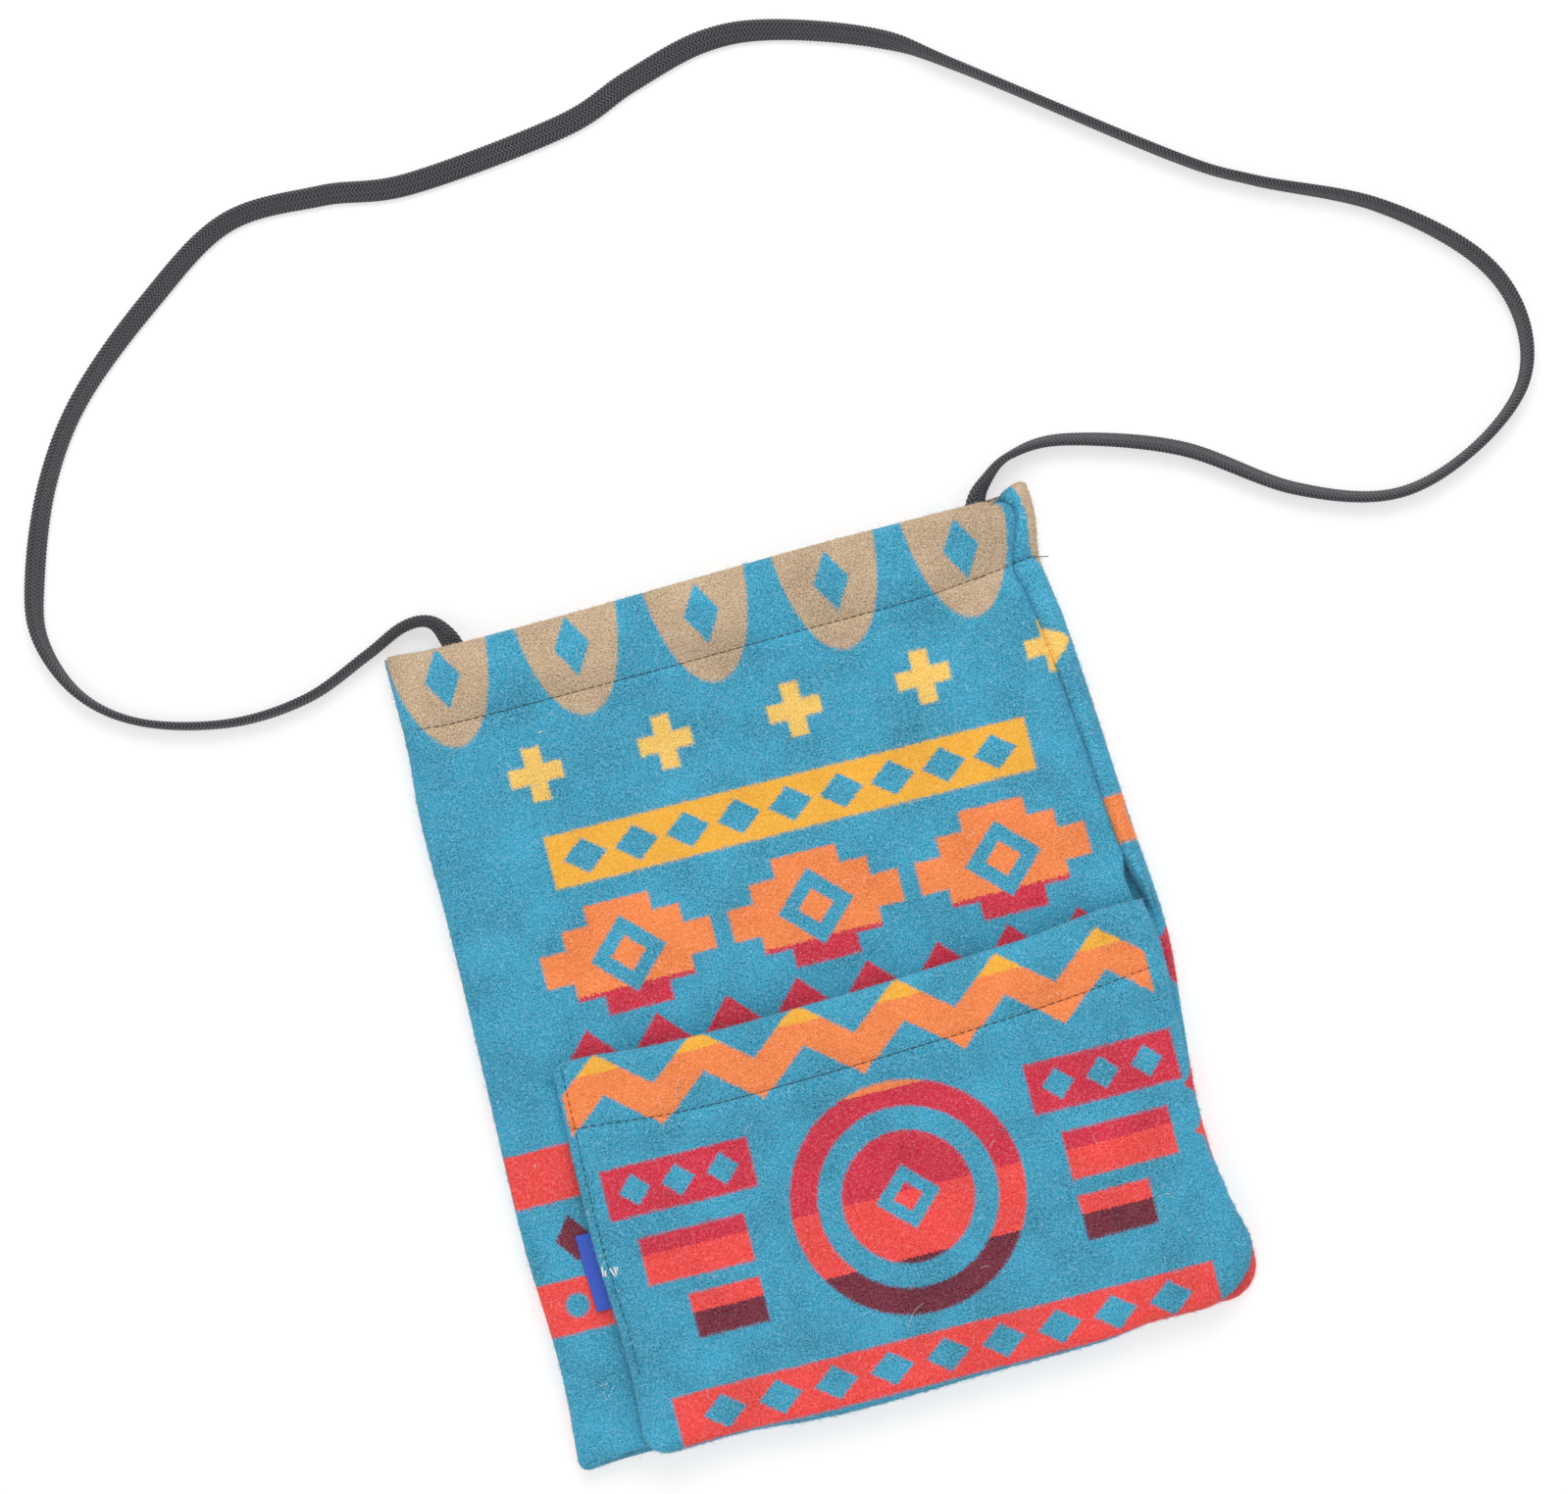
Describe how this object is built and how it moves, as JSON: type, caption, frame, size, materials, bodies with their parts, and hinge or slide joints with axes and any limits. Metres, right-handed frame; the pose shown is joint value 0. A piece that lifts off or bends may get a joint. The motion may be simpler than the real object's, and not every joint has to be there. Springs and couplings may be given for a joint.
{
  "type": "tote bag",
  "caption": "Small flat wool tote bag with a turned-in hem, a patch pocket on its lower front, a folded side label and a long flat braided strap.",
  "frame": {"origin": "middle of the bag's outline on the surface that the bag lies on, without the strap", "axes": "+Y towards the mouth, +Z out of the face that carries the pocket, +X towards the side seam that lies forward on the face"},
  "size_m": [0.5087, 0.4573, 0.0218],
  "materials": {
    "front_wool": "felted jacquard wool, teal with banded motifs",
    "back_wool": "felted jacquard wool, coral red and teal bands",
    "pocket_wool": "felted jacquard wool, orange and coral on teal",
    "braid": "flat braided cord, charcoal",
    "ribbon": "woven satin ribbon, blue",
    "dark_thread": "spun sewing thread, near black",
    "white_thread": "spun sewing thread, white"
  },
  "bodies": {
    "root": {"front_panel": "front_wool", "back_panel": "back_wool", "pocket": "pocket_wool", "label": "ribbon", "front_hem_thread": "dark_thread", "back_hem_thread": "dark_thread", "pocket_hem_thread": "dark_thread", "pocket_side_thread": "dark_thread", "label_tack_thread": "white_thread", "strap": "braid", "strap_tack_left": "dark_thread", "strap_tack_right": "dark_thread"}
  },
  "joints": []
}
